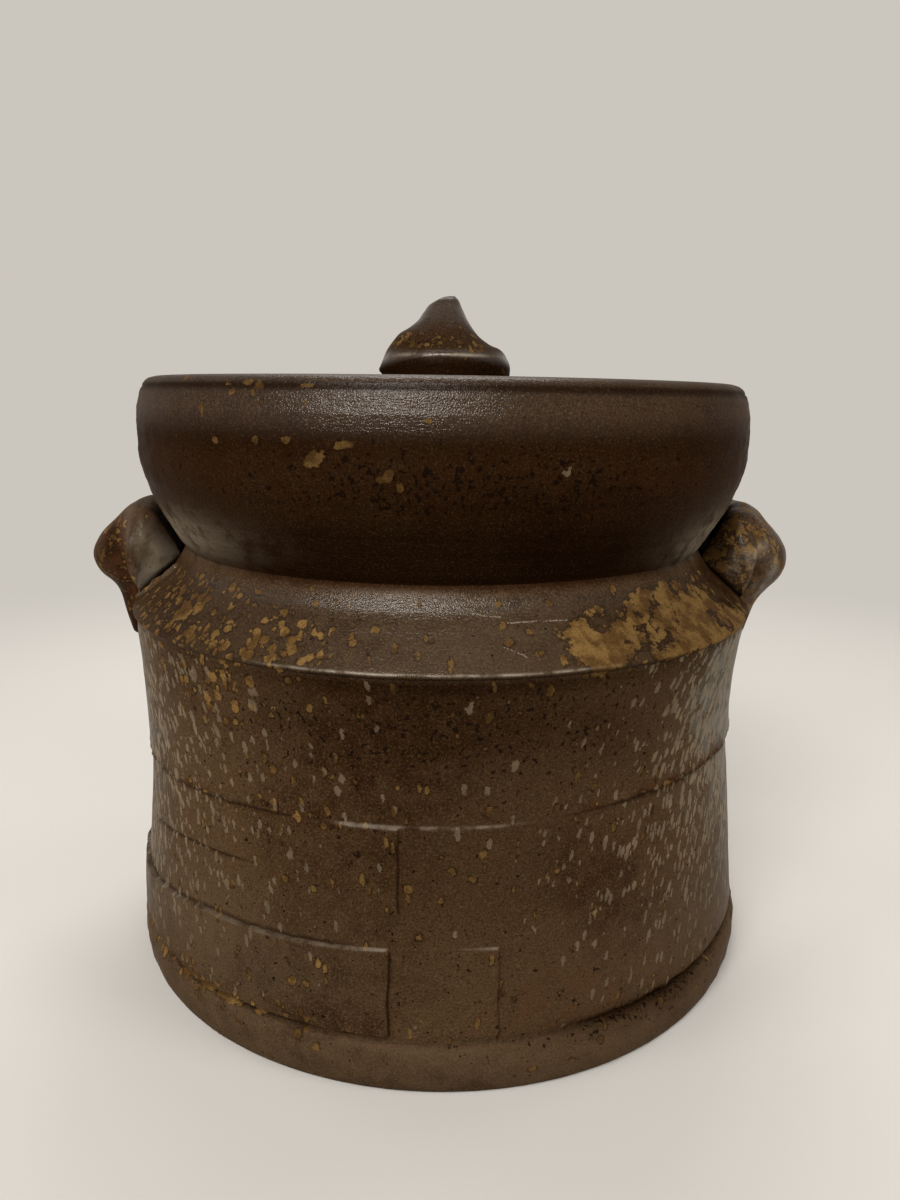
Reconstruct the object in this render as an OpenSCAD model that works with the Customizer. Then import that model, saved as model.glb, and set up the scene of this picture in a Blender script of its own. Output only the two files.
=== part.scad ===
// Lidded stoneware water jar for the tea room.
// A flat base slab carries a waisted wall, a sloping shoulder and a flared mouth bowl.
// Two ear lugs stand on the shoulder. The lid lies on a ledge inside the mouth and lifts off.
// Millimetres, Z up, origin at the centre of the standing face, ears along X.

/* [Base slab] */
// How far the slab's lower and upper edges stand back from the wall's foot
slab_inset = 0.8; // [0:0.1:3]
// How far the slab's side swells past those edges
slab_bulge = 1.8; // [0:0.1:4]
// Thickness of the slab, floor to standing face
slab_h = 13; // [8:0.5:20]
// Rounding of the standing edge
slab_edge = 2.5; // [0.5:0.1:4]

/* [Body wall] */
// Height of the wall above the slab
wall_h = 89; // [60:0.5:120]
// Thickness of the wall
wall_t = 8; // [5:0.1:12]
// Outer radius at the waist
waist_r = 89.6; // [76:0.1:106]
// Height of the waist above the slab
waist_h = 62; // [35:0.5:80]
// How far the wall's foot stands out past the waist
foot_flare = 4.6; // [0:0.1:10]
// How far the wall's top stands out past the waist
top_flare = 2.4; // [0:0.1:8]
// Depth of the groove between the wall and the slab
groove_depth = 1.2; // [0.4:0.1:3]
// Height of that groove
groove_h = 2; // [0.5:0.1:4]

/* [Shoulder] */
// How far the shoulder's edge stands out past the wall's top
edge_out = 1; // [0:0.1:4]
// Height of the edge above the wall
shoulder_lip = 2.5; // [1:0.1:6]
// Width of the slope from the edge in to the neck
shoulder_run = 17; // [10:0.1:28]
// Rise from the edge to the neck
shoulder_rise = 15.6; // [8:0.1:25]
// Thickness of the shoulder, square to its slope
shoulder_t = 8; // [5:0.1:12]

/* [Mouth bowl] */
// Thickness of the clay at the neck
neck_t = 8; // [5:0.1:12]
// How far the bowl's belly stands out past the neck
bowl_out = 13; // [6:0.1:20]
// Height of the bowl from the neck to the rim
bowl_h = 48.4; // [38:0.1:70]
// Thickness of the bowl behind the lid
rim_t = 9; // [8:0.1:14]
// Slope of the bowl where it leaves the neck, in degrees
bowl_flare = 56; // [35:1:75]
// Fullness of the bowl's curve at the neck and at its widest
bowl_pull = 11; // [6:0.5:16]
// Inward lean of the lip
lip_lean = 0.6; // [0:0.1:3]
// Rounding of the lip outside
lip_round = 5; // [2:0.1:5.4]
// Rounding of the lip inside
lip_in_round = 2.4; // [0.5:0.1:2.5]

/* [Lid ledge] */
// Width of the ledge that carries the lid
ledge_w = 7; // [3:0.1:12]
// Height of the ledge against the bowl
ledge_h = 7; // [4:0.1:12]
// Height of the ledge at its free edge
ledge_nose = 3; // [1:0.1:4]

/* [Lid] */
// Thickness of the lid at its rim
lid_t = 7; // [4:0.1:10]
// Depth of the lid's rim below the jar's rim
lid_sink = 3.5; // [0:0.1:8]
// Gap between the lid and the bowl all round
lid_gap = 1.3; // [0.5:0.1:3]
// Rounding of the lid's edges
lid_round = 1.6; // [0.3:0.1:1.9]
// Rise of the lid from its rim to the pad under the knob
lid_dome = 1.2; // [0:0.1:5]
// Margin of that pad around the knob
pad_margin = 4; // [1:0.5:10]

/* [Knob] */
// Radius of the knob where it meets the lid
knob_foot_r = 16.5; // [8:0.1:18]
// Radius of the knob's skirt
knob_r = 19.6; // [10:0.1:30]
// Height of the skirt's edge above the lid
knob_skirt_z = 7; // [3:0.1:12]
// Height of the peak above the lid
knob_h = 28.4; // [18:0.1:40]
// Sideways offset of the peak
knob_lean = 1.6; // [-3:0.1:3]
// Half width of the peak
knob_tip_r = 2.2; // [1:0.1:6]

/* [Ears] */
// Half of the angle that an ear spans, in degrees
ear_half_angle = 12; // [6:0.5:20]
// Reach of the ear beyond the shoulder's edge
ear_reach = 16.2; // [8:0.1:30]
// Height of the ear's crown above the shoulder's edge
ear_rise = 29.6; // [20:0.1:34]
// Distance from the neck to the ear's root on the shoulder
ear_root_gap = 5; // [2:0.1:8]
// Distance from the straight line between neck and belly to the ear's inner face
ear_bowl_gap = 8; // [5:0.1:12]
// Thickness of the ear from its inner face to its crown
ear_crown_t = 6.5; // [3:0.1:10]
// Length of the tail smeared down the wall from the shoulder's edge
ear_tail = 9.5; // [4:0.1:20]
// Thickness of the tail's tip
ear_tail_t = 1.2; // [0.6:0.1:4]
// Size of the ear's end faces as a share of its middle
ear_end = 0.74; // [0.4:0.01:0.95]
// Slip joint between an ear and the jar
slip = 0.15; // [0.05:0.01:0.4]

/* [Hidden] */

$fn = 128;
CURVE_STEPS = 12;
ROUND_STEPS = 6;
EAR_STATIONS = 12;
EAR_SPLINE_STEPS = 4;
KNOB_SIDES = 32;
// The wall leaves the waist almost straight downwards and in a plain curve upwards.
WALL_LOWER_POWER = 1.2;
WALL_UPPER_POWER = 2;
// Height of the ear's inner face as a share of its rise
EAR_INNER_SHARE = 0.73;
// Outside of the ear from its crown to its pinch, as shares of its reach and its rise
EAR_OUTSIDE = [[0.44, 0.865], [0.82, 0.645], [1, 0.41], [0.85, 0.17], [0.42, 0]];

CLAY = [0.24, 0.17, 0.12];
CLAY_LID = [0.22, 0.16, 0.12];
CLAY_EAR = [0.30, 0.20, 0.11];

// Levels up the jar
waist_z = slab_h + waist_h;
wall_top_z = slab_h + wall_h;
edge_z = wall_top_z + shoulder_lip;
neck_z = edge_z + shoulder_rise;
rim_z = neck_z + bowl_h;
seat_z = rim_z - lid_sink - lid_t;
belly_z = seat_z - ledge_h;
pad_z = seat_z + lid_t + lid_dome;

// Outer radii up the jar
wall_foot_r = waist_r + foot_flare;
slab_r = wall_foot_r - slab_inset;
wall_top_r = waist_r + top_flare;
shoulder_r = wall_top_r + edge_out;
neck_r = shoulder_r - shoulder_run;
bowl_r = neck_r + bowl_out;

// Radii inside the mouth
mouth_r = bowl_r - rim_t;
lid_r = mouth_r - lid_gap;
neck_in_r = neck_r - neck_t;

function mix(a, b, t) = a + (b - a) * t;

function arc(centre, radius, from, to) =
    [for (i = [0:ROUND_STEPS])
        let (angle = mix(from, to, i / ROUND_STEPS))
        centre + radius * [cos(angle), sin(angle)]];

function bezier(a, b, c, d) =
    [for (i = [0:CURVE_STEPS])
        let (t = i / CURVE_STEPS, s = 1 - t)
        s * s * s * a + 3 * s * s * t * b + 3 * s * t * t * c + t * t * t * d];

function reversed(points) = [for (i = [len(points) - 1:-1:0]) points[i]];

// Point at share t between b and c on the smooth curve through a, b, c and d
function spline_point(a, b, c, d, t) =
    0.5 * (2 * b + (c - a) * t + (2 * a - 5 * b + 4 * c - d) * t * t
           + (3 * b - a - 3 * c + d) * t * t * t);

// Smooth open curve through the given points, its last point left out
function spline(points, steps) =
    let (last = len(points) - 1)
    [for (i = [0:last - 1], k = [0:steps - 1])
        spline_point(points[max(i - 1, 0)], points[i], points[i + 1],
                     points[min(i + 2, last)], k / steps)];

// Faces of a closed skin over rings of equal size, with flat caps on the first and last ring
function skin_faces(rings, sides) =
    concat(
        [[for (k = [0:sides - 1]) k]],
        [for (i = [0:rings - 2], k = [0:sides - 1], half = [0, 1])
            let (next = (k + 1) % sides, low = i * sides, high = low + sides)
            half == 0 ? [low + k, high + k, high + next] : [low + k, high + next, low + next]],
        [[for (k = [sides - 1:-1:0]) (rings - 1) * sides + k]]);

// Outer radius of the slab's side and of the wall at height z
function slab_side(z) = slab_r + slab_bulge * sin(180 * z / slab_h);
function wall_out(z) =
    z < waist_z
        ? mix(waist_r, wall_foot_r, pow((waist_z - z) / waist_h, WALL_LOWER_POWER))
        : mix(waist_r, wall_top_r, pow((z - waist_z) / (wall_top_z - waist_z), WALL_UPPER_POWER));

// Height of the shoulder's outer cone at radius r
shoulder_slope = shoulder_rise / shoulder_run;
function shoulder_z(r) = edge_z + (shoulder_r - r) * shoulder_slope;
// Upright thickness of the shoulder
shoulder_drop = shoulder_t * norm([1, shoulder_slope]);
function shoulder_in_r(z) = shoulder_r - (z + shoulder_drop - edge_z) / shoulder_slope;

// Outer radius of the jar below the shoulder's edge
function jar_side(z) =
    z < wall_top_z ? wall_out(z) : mix(wall_top_r, shoulder_r, (z - wall_top_z) / shoulder_lip);

// Radius at height z on the straight line between the neck and the bowl's belly
function bowl_line(z) = mix(neck_r, bowl_r, (z - neck_z) / (belly_z - neck_z));

// Curve of the bowl from the neck at radius from_r to radius to_r at the belly
function bowl_curve(from_r, to_r) =
    bezier([from_r, neck_z],
           [from_r, neck_z] + bowl_pull * [cos(bowl_flare), sin(bowl_flare)],
           [to_r, belly_z - bowl_pull],
           [to_r, belly_z]);

module base_slab() {
    foot_r = slab_side(slab_edge);
    color(CLAY)
    rotate_extrude()
    polygon(concat(
        [[0, 0]],
        arc([foot_r - slab_edge, slab_edge], slab_edge, -90, 0),
        [for (i = [1:ROUND_STEPS])
            let (z = mix(slab_edge, slab_h, i / ROUND_STEPS))
            [slab_side(z), z]],
        [[0, slab_h]]));
}

module body_wall() {
    groove_z = slab_h + groove_h;
    lower = [for (i = [0:CURVE_STEPS]) mix(groove_z, waist_z, i / CURVE_STEPS)];
    upper = [for (i = [1:ROUND_STEPS]) mix(waist_z, wall_top_z, i / ROUND_STEPS)];
    levels = concat(lower, upper);
    color(CLAY)
    rotate_extrude()
    polygon(concat(
        [[wall_out(slab_h) - wall_t, slab_h], [wall_out(slab_h) - groove_depth, slab_h]],
        [for (z = levels) [wall_out(z), z]],
        reversed([for (z = levels) [wall_out(z) - wall_t, z]])));
}

module shoulder_ring() {
    neck_under_z = shoulder_z(neck_in_r) - shoulder_drop;
    color(CLAY)
    rotate_extrude()
    polygon([
        [shoulder_in_r(wall_top_z), wall_top_z],
        [wall_top_r, wall_top_z],
        [shoulder_r, edge_z],
        [neck_r, neck_z],
        [neck_in_r, neck_z],
        [neck_in_r, neck_under_z]]);
}

module mouth_bowl() {
    lip_r = bowl_r - lip_lean;
    color(CLAY)
    rotate_extrude()
    polygon(concat(
        bowl_curve(neck_r, bowl_r),
        arc([lip_r - lip_round, rim_z - lip_round], lip_round, 0, 90),
        arc([mouth_r + lip_in_round, rim_z - lip_in_round], lip_in_round, 90, 180),
        reversed(bowl_curve(neck_in_r, mouth_r))));
}

module lid_ledge() {
    color(CLAY)
    rotate_extrude()
    polygon([
        [mouth_r, belly_z],
        [mouth_r, seat_z],
        [mouth_r - ledge_w, seat_z],
        [mouth_r - ledge_w, seat_z - ledge_nose]]);
}

// Outline of the ear in the upright plane through the jar's axis, as [radius, height].
// size shrinks it towards the shoulder's edge, and the side against the jar stays on the jar.
function ear_outline(size) =
    let (edge = [shoulder_r, edge_z],
         root_r = mix(shoulder_r, neck_r + ear_root_gap, size),
         tail_z = edge_z - ear_tail * size,
         tail = [jar_side(tail_z) + slip, tail_z],
         inner_z = edge_z + EAR_INNER_SHARE * ear_rise,
         inner = [bowl_line(inner_z) + ear_bowl_gap, inner_z],
         crown = [inner.x + ear_crown_t, edge_z + ear_rise],
         outside = [for (share = EAR_OUTSIDE) edge + [share.x * ear_reach, share.y * ear_rise]],
         free = [for (p = concat([inner, crown], outside)) mix(edge, p, size)],
         curve = concat([[root_r + slip, shoulder_z(root_r)]], free,
                        [tail + [ear_tail_t * size, 0]]))
    concat(spline(curve, EAR_SPLINE_STEPS),
           [curve[len(curve) - 1], tail, [wall_top_r + slip, wall_top_z],
            edge + [slip, 0]]);

// One ear, on the side of the jar that the angle names
module ear(side_angle) {
    sides = len(ear_outline(1));
    points = [for (i = [0:EAR_STATIONS])
        let (turn = mix(-1, 1, i / EAR_STATIONS),
             angle = side_angle + ear_half_angle * turn)
        for (p = ear_outline(1 - (1 - ear_end) * pow(abs(turn), 4)))
            [p.x * cos(angle), p.x * sin(angle), p.y]];
    color(CLAY_EAR)
    polyhedron(points, skin_faces(EAR_STATIONS + 1, sides));
}

module left_ear() {
    ear(180);
}

module right_ear() {
    ear(0);
}

module lid_plate() {
    top_z = seat_z + lid_t;
    color(CLAY_LID)
    rotate_extrude()
    polygon(concat(
        [[0, seat_z]],
        arc([lid_r - lid_round, seat_z + lid_round], lid_round, -90, 0),
        arc([lid_r - lid_round, top_z - lid_round], lid_round, 0, 90),
        [[knob_foot_r + pad_margin, pad_z], [0, pad_z]]));
}

// The knob is a skirted cone pulled up to an off-centre peak, hollowed more on its right.
// Each row is the height, the reach to the left, to the right and front to back.
module lid_knob() {
    cone_h = knob_h - knob_skirt_z;
    tip_left = knob_tip_r - knob_lean;
    tip_right = knob_tip_r + knob_lean;
    rows = [
        [0, knob_foot_r, knob_foot_r, knob_foot_r],
        [0.45 * knob_skirt_z, mix(knob_foot_r, knob_r, 0.5), mix(knob_foot_r, knob_r, 0.8),
         mix(knob_foot_r, knob_r, 0.7)],
        [knob_skirt_z, knob_r, knob_r, knob_r],
        [knob_skirt_z + 0.12 * cone_h, 0.95 * knob_r, 0.97 * knob_r, 0.94 * knob_r],
        [knob_skirt_z + 0.24 * cone_h, 0.89 * knob_r, 0.88 * knob_r, 0.82 * knob_r],
        [knob_skirt_z + 0.34 * cone_h, 0.82 * knob_r, 0.63 * knob_r, 0.68 * knob_r],
        [knob_skirt_z + 0.46 * cone_h, 0.71 * knob_r, 0.48 * knob_r, 0.54 * knob_r],
        [knob_skirt_z + 0.60 * cone_h, 0.51 * knob_r, 0.40 * knob_r, 0.42 * knob_r],
        [knob_skirt_z + 0.80 * cone_h, 0.31 * knob_r, 0.27 * knob_r, 0.27 * knob_r],
        [knob_skirt_z + 0.92 * cone_h, 0.18 * knob_r, 0.23 * knob_r, 0.20 * knob_r],
        [knob_h, tip_left, tip_right, knob_tip_r]];
    points = [for (row = rows, k = [0:KNOB_SIDES - 1])
        let (angle = 360 * k / KNOB_SIDES, across = cos(angle) < 0 ? row[1] : row[2])
        [across * cos(angle), row[3] * sin(angle), pad_z + row[0]]];
    color(CLAY_LID)
    polyhedron(points, skin_faces(len(rows), KNOB_SIDES));
}

base_slab();
body_wall();
shoulder_ring();
mouth_bowl();
lid_ledge();
left_ear();
right_ear();
lid_plate();
lid_knob();
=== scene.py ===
"""Looks of a lidded stoneware water jar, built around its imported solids.

The builders work in millimetres and write their meshes in metres.
Angles are degrees from the front of the jar, positive to the right.
"""
import math

import bpy
import numpy as np
from mathutils import Matrix, Vector, noise


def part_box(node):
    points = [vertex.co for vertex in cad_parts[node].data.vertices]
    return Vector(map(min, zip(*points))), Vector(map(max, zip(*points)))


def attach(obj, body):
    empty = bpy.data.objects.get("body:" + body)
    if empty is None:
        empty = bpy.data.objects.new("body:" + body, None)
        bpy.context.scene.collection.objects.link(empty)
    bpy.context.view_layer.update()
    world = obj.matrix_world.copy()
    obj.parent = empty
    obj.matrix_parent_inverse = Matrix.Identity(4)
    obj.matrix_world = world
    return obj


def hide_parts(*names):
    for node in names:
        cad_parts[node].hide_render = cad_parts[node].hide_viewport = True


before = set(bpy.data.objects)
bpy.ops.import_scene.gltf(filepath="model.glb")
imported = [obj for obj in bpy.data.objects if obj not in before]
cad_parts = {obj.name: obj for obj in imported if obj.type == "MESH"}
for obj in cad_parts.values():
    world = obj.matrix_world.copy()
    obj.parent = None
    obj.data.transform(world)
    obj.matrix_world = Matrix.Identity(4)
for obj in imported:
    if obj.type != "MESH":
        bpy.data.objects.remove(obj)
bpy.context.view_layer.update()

MM = 0.001


# Sizes from the frame

def corners(node):
    """Lowest and highest corner of a solid, in millimetres."""
    low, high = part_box(node)
    return np.array(low) / MM, np.array(high) / MM


slab_r, _, slab_top = corners("base_slab")[1]
wall_top = corners("body_wall")[1][2]
edge_r, _, neck_z = corners("shoulder_ring")[1]
bowl_r, _, rim_z = corners("mouth_bowl")[1]
ledge_low_z = corners("lid_ledge")[0][2]
mouth_r = corners("lid_ledge")[1][0]
seat_z = corners("lid_plate")[0][2]
lid_r = corners("lid_plate")[1][0]
pad_z = corners("lid_knob")[0][2]
ear_low_z = corners("right_ear")[0][2]

# Sizes inside the solids' outlines
WALL_T = 8
WAIST_R = 89.6
WAIST_Z = 75
FOOT_R = 94.2
WALL_TOP_R = 92
FOOT_GROOVE_H = 2
FOOT_GROOVE_DEPTH = 1.4
EDGE_H = 2.5
NECK_R = 76
NECK_T = 8
LIP_GROOVE_Z = 2.6
edge_z = wall_top + EDGE_H

# How far the mouth leans to the right, and its rim tips per millimetre across
MOUTH_LEAN = 0.4
RIM_TILT = 0.007


# Numbers and curves

def ease(low, high, x):
    t = np.clip((x - low) / (high - low), 0, 1)
    return t * t * (3 - 2 * t)


def hill(x, centre, half_width):
    """1 at the centre, falling to both sides."""
    return np.exp(-((x - centre) / half_width) ** 2)


def through(x, *pairs):
    """Straight lines through pairs of position and value."""
    positions, values = zip(*pairs)
    return np.interp(x, positions, values)


def layers(*values):
    """Arrays as the parts of one vector."""
    return np.stack(np.broadcast_arrays(*values), axis=-1)


def spline(points, steps):
    """Smooth curve through points, with that many steps between two."""
    p = np.asarray(points, float)
    p = np.concatenate([2 * p[:1] - p[1:2], p, 2 * p[-1:] - p[-2:-1]])
    t = np.linspace(0, 1, steps, endpoint=False)[:, None]
    parts = []
    for a, b, c, d in zip(p, p[1:], p[2:], p[3:]):
        parts.append(0.5 * (2 * b + (c - a) * t + (2 * a - 5 * b + 4 * c - d) * t ** 2
                            + (3 * b - a - 3 * c + d) * t ** 3))
    return np.concatenate(parts + [p[-2:-1]])


def straight(start, end, steps):
    t = np.linspace(0, 1, steps + 1)[:, None]
    return np.asarray(start, float) * (1 - t) + np.asarray(end, float) * t


def arc(centre, radius, start, end, steps):
    turn = np.radians(np.linspace(start, end, steps + 1))
    return np.asarray(centre) + radius * layers(np.cos(turn), np.sin(turn))


def bezier(a, b, c, d, steps):
    t = np.linspace(0, 1, steps + 1)[:, None]
    a, b, c, d = (np.asarray(p, float) for p in (a, b, c, d))
    return (1 - t) ** 3 * a + 3 * (1 - t) ** 2 * t * b + 3 * (1 - t) * t ** 2 * c + t ** 3 * d


def rough(points, wavelength, seed=0):
    """Noise from -1 to 1, in lumps of about that many millimetres."""
    flat = np.asarray(points, float).reshape(-1, 3) / wavelength + seed
    values = [noise.noise(Vector(p)) for p in flat]
    return np.array(values).reshape(np.shape(points)[:-1])


def on_jar(phi, r, z):
    """Points at angle phi, radius r and height z."""
    turn = np.radians(phi)
    return layers(r * np.sin(turn), -r * np.cos(turn), z)


def lean(points):
    """Points moved as the fired mouth leans and its rim tips."""
    out = points.copy()
    share = ease(edge_z, rim_z, points[..., 2])
    out[..., 0] += MOUTH_LEAN * share
    out[..., 2] -= RIM_TILT * points[..., 0] * share
    return out


# Meshes

def finished(name, vertices, faces, paint, material, crease):
    """A smooth object from points in millimetres, with its paint as attributes."""
    mesh = bpy.data.meshes.new(name)
    mesh.from_pydata((vertices * MM).tolist(), [], faces)
    mesh.polygons.foreach_set("use_smooth", [True] * len(mesh.polygons))
    mesh.set_sharp_from_angle(angle=math.radians(crease))
    for key, values in paint.items():
        attribute = mesh.attributes.new(key, "FLOAT_VECTOR", "POINT")
        attribute.data.foreach_set("vector", np.asarray(values, np.float32).ravel())
    mesh.materials.append(material)
    mesh.update()
    piece = bpy.data.objects.new(name, mesh)
    bpy.context.scene.collection.objects.link(piece)
    return piece


def grid_faces(rows, columns, ring):
    """Quads over a grid whose columns go round. A ring's last row joins its first."""
    count = rows if ring else rows - 1
    i, j = np.meshgrid(np.arange(count), np.arange(columns), indexing="ij")
    up, right = (i + 1) % rows, (j + 1) % columns
    quads = layers(i * columns + j, i * columns + right, up * columns + right, up * columns + j)
    return quads.reshape(-1, 4).tolist()


def cap_faces(rows, columns):
    """Fans that close the first and last row on a middle point each."""
    first, last = rows * columns, rows * columns + 1
    top = (rows - 1) * columns
    bottom_fan = [[(j + 1) % columns, j, first] for j in range(columns)]
    top_fan = [[top + j, top + (j + 1) % columns, last] for j in range(columns)]
    return bottom_fan + top_fan


def grid_piece(name, points, paint, material, ring, crease=40):
    """A closed piece over a grid of points by row and column."""
    rows, columns = points.shape[:2]
    faces = grid_faces(rows, columns, ring)
    vertices = points.reshape(-1, 3)
    paint = {key: values.reshape(-1, 3) for key, values in paint.items()}
    if not ring:
        faces += cap_faces(rows, columns)
        ends = np.stack([points[0].mean(0), points[-1].mean(0)])
        vertices = np.concatenate([vertices, ends])
        for key, values in paint.items():
            paint[key] = np.concatenate([values, values[:1], values[-1:]])
    return finished(name, vertices, faces, paint, material, crease)


# Columns of points stand closer together on the front
FRONT_HALF = 104
FRONT_STEP = 0.65
BACK_STEP = 1.3


def columns(extra=()):
    """Angles of the columns round the jar, with some extra ones."""
    front = np.arange(-FRONT_HALF, FRONT_HALF, FRONT_STEP)
    back = np.arange(FRONT_HALF, 360 - FRONT_HALF, BACK_STEP)
    plain = [a for a in np.concatenate([front, back])
             if all(abs(a - e) > FRONT_STEP / 4 for e in extra)]
    angles = np.sort(np.concatenate([plain, np.asarray(extra, float)]))
    return np.where(angles > 180, angles - 360, angles)


def swept(outline):
    """Angles, radii and heights of an outline turned round the axis."""
    return np.broadcast_arrays(columns()[None, :], outline[:, :1], outline[:, 1:])


# Where the kiln left its marks, and where light and shade are painted

def spot(phi, z, at_phi, at_z, half_phi, half_z):
    """A soft patch on the jar."""
    apart = (phi - at_phi + 180) % 360 - 180
    return np.exp(-(apart / half_phi) ** 2 - ((z - at_z) / half_z) ** 2)


# The flecks' slant round the jar: angles, and millimetres aside for each one up
FLOW_SLANT = ((-180, 0), (-130, -0.2), (-60, -0.3), (0, 0), (60, 0.5), (130, 0.3), (180, 0))
FLOW_R = 90
FLOW_MIDDLE = 70
FLOW_STRETCH = 0.48


def flow(phi, along):
    """Coordinates for flecks that the flame drew out upwards and aslant."""
    turn = np.radians(phi) - through(phi, *FLOW_SLANT) * (along - FLOW_MIDDLE) / FLOW_R
    return layers(FLOW_R * np.sin(turn), -FLOW_R * np.cos(turn), along * FLOW_STRETCH) * MM


# Each mark by the zone of the jar that it lies in: its share all over the zone, then soft patches
# of it, each with its strength, angle, height and half sizes
ASH = {
    "jar": (0.025, (0.6, -48, slab_top, 26, 3.5), (0.25, 55, slab_top, 30, 3)),
    "wall": (0.05, (0.75, -38, 98, 13, 12), (0.3, 58, 100, 16, 9), (0.12, -20, 68, 20, 10),
             (0.2, 160, 95, 50, 20)),
    "shoulder": (0.06, (0.82, -50, 109, 20, 12), (0.55, -24, 107, 11, 7), (0.6, 50, 110, 24, 14),
                 (0.35, 150, 110, 50, 20)),
    "bowl": (-0.03, (0.3, -42, 163, 18, 4))}
OCHRE_SHEET = {
    "jar": (0, (0.6, 24, edge_z - 1, 2.2, 3), (0.5, 35, edge_z - 1, 3, 2.5),
            (0.35, 52, 99, 7, 6), (0.8, -44, slab_top + 0.6, 18, 1.5)),
    "shoulder": (0, (0.78, 45, 110, 17, 12), (0.45, 66, 107, 10, 5), (0.62, 24, 109, 7, 5),
                 (0.38, -47, 108, 14, 6), (0.6, 170, 110, 20, 8))}
# Pale ash. Where its share is high on the wall, most of all on the right, it also lays grey patches of
# painted sheen
PALE = {
    "jar": (0, (0.5, 18, 147, 1.5, 3.6)),
    "wall": (0.012, (1, 68, 76, 26, 46), (0.5, 53, 92, 12, 14), (0.7, -66, 80, 32, 36),
             (0.4, -66, 38, 20, 20), (0.25, 170, 60, 60, 40), (0.25, 38, 50, 16, 30))}
DOTS = {
    "jar": (0.15, (0.9, 34, slab_top - 0.5, 26, 2.2)),
    "wall": (0, (0.7, 0, 92, 42, 16), (0.4, -20, 62, 25, 12), (0.2, 0, 28, 50, 22)),
    "bowl": (0, (1, 5, 145, 40, 9))}
# On the jar, grey is painted light: painted reflection of the floor on the foot, low on the wall and
# low on both sides of the bowl, and painted sheen on both sides of the wall, on the right wall's middle
# and on the front of the shoulder
GREY_SHEEN_AND_REFLECTION = {
    "foot": (0.3,),
    "wall": (0, (0.4, 58, 90, 14, 14), (0.45, -74, 72, 20, 40), (0.55, 72, 70, 22, 46),
             (0.3, -42, 28, 30, 14), (0.25, 48, 28, 30, 14)),
    "shoulder": (0, (0.3, 4, 110, 34, 16)),
    "bowl": (0, (0.9, -66, 128, 22, 7), (0.9, 66, 128, 20, 9))}
RED = {
    "jar": (0.12, (0.25, 24, 24, 16, 12)),
    "foot": (0.12,)}
# Dark clay, and painted shade. The last four patches on the jar are painted shade in the crack at the
# right ear's root
DARK_AND_SHADE = {
    "jar": (0, (0.5, 34, slab_top - 0.6, 24, 2.4), (0.9, 62, 110.4, 1, 0.5),
            (0.9, 63.6, 109.1, 1.2, 0.6), (0.9, 65.4, 108, 1.2, 0.7), (0.9, 67.4, 107, 1.2, 0.5)),
    # on the wall, the last patch is painted shadow under the shoulder's edge
    "wall": (0, (0.45, 4, 94, 44, 14), (0.42, 4, 60, 30, 36), (0.5, 0, wall_top, 45, 3)),
    "shoulder": (0.3,),
    # on the bowl, the first two patches lift the dark where the painted reflection lies, low on both
    # sides
    "bowl": (1, (-0.95, -64, 128, 22, 7), (-0.85, 66, 129, 18, 8), (-0.14, 48, 148, 26, 13))}
# Painted reflection of the floor, pale, low on both sides of the bowl
BOWL_REFLECTION = {"bowl": (0, (0.36, -60, 129, 19, 6), (0.36, 60, 128, 12, 7))}

# Single ochre marks on the bowl and the wall: angle, height and half sizes
OCHRE_MARKS = (
    (-36, 153.8, 0.9, 1.2), (-28, 154, 1.1, 1.7), (-23, 154.2, 1.1, 1.5),
    (-18.5, 150.4, 1.7, 2.6), (-16.8, 151.8, 2.2, 1.6), (-14.3, 153.6, 1.6, 1),
    (-7.6, 147.6, 1, 1.7), (-6.1, 144.6, 0.9, 1.9), (-8.6, 146.6, 1.3, 0.8),
    (-2, 159, 1, 1), (-34, 166.2, 1.2, 0.8), (-30.5, 166.6, 1.6, 0.9),
    (-28, 165.8, 1, 0.8), (-20, 166, 1.6, 0.8), (-18.3, 31.2, 1.4, 2.6),
    (-22.4, 25.3, 1, 1.7), (-23.9, 17.2, 0.7, 1.8))
MARK_STRENGTH = 0.85
MARK_SIZE = 0.85
# Where the shoulder's edge is pale with wear and a painted highlight: angles and shares
EDGE_WEAR_AND_HIGHLIGHT = ((-30, 0), (-20, 0.5), (-8, 0.8), (18, 0.6), (28, 0))


def jar_zones(z):
    """Shares of the jar's zones at each height."""
    over_wall = ease(wall_top, edge_z, z)
    return {"jar": 1,
            "foot": 1 - ease(slab_top - 1, slab_top + 3, z),
            "wall": ease(slab_top, slab_top + 3, z) * (1 - over_wall),
            "shoulder": over_wall * (1 - ease(neck_z - 3, neck_z + 1, z)),
            "bowl": ease(neck_z - 1, neck_z + 2, z)}


def marked(mark, phi, z):
    """Share of a kiln mark, or of painted light or shade."""
    zones = jar_zones(z)
    share = 0
    for zone, (level, *places) in mark.items():
        patches = sum(strength * spot(phi, z, *place) for strength, *place in places)
        share = share + zones[zone] * (level + patches)
    return share


def ochre_share(phi, z):
    """Sheets of ochre, and its single marks."""
    share = marked(OCHRE_SHEET, phi, z)
    for at_phi, at_z, half_phi, half_z in OCHRE_MARKS:
        share += MARK_STRENGTH * spot(phi, z, at_phi, at_z, MARK_SIZE * half_phi, MARK_SIZE * half_z)
    return share


def red_share(phi, z):
    """Red clay, with its line round the neck."""
    on_bowl = 0.35 * jar_zones(z)["bowl"] * hill(z, 145, 14)
    return marked(RED, phi, z) + 0.5 * hill(z, neck_z + 2, 1) + on_bowl


def in_lip_groove(z):
    return hill(z, rim_z - LIP_GROOVE_Z, 0.9)


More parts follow.
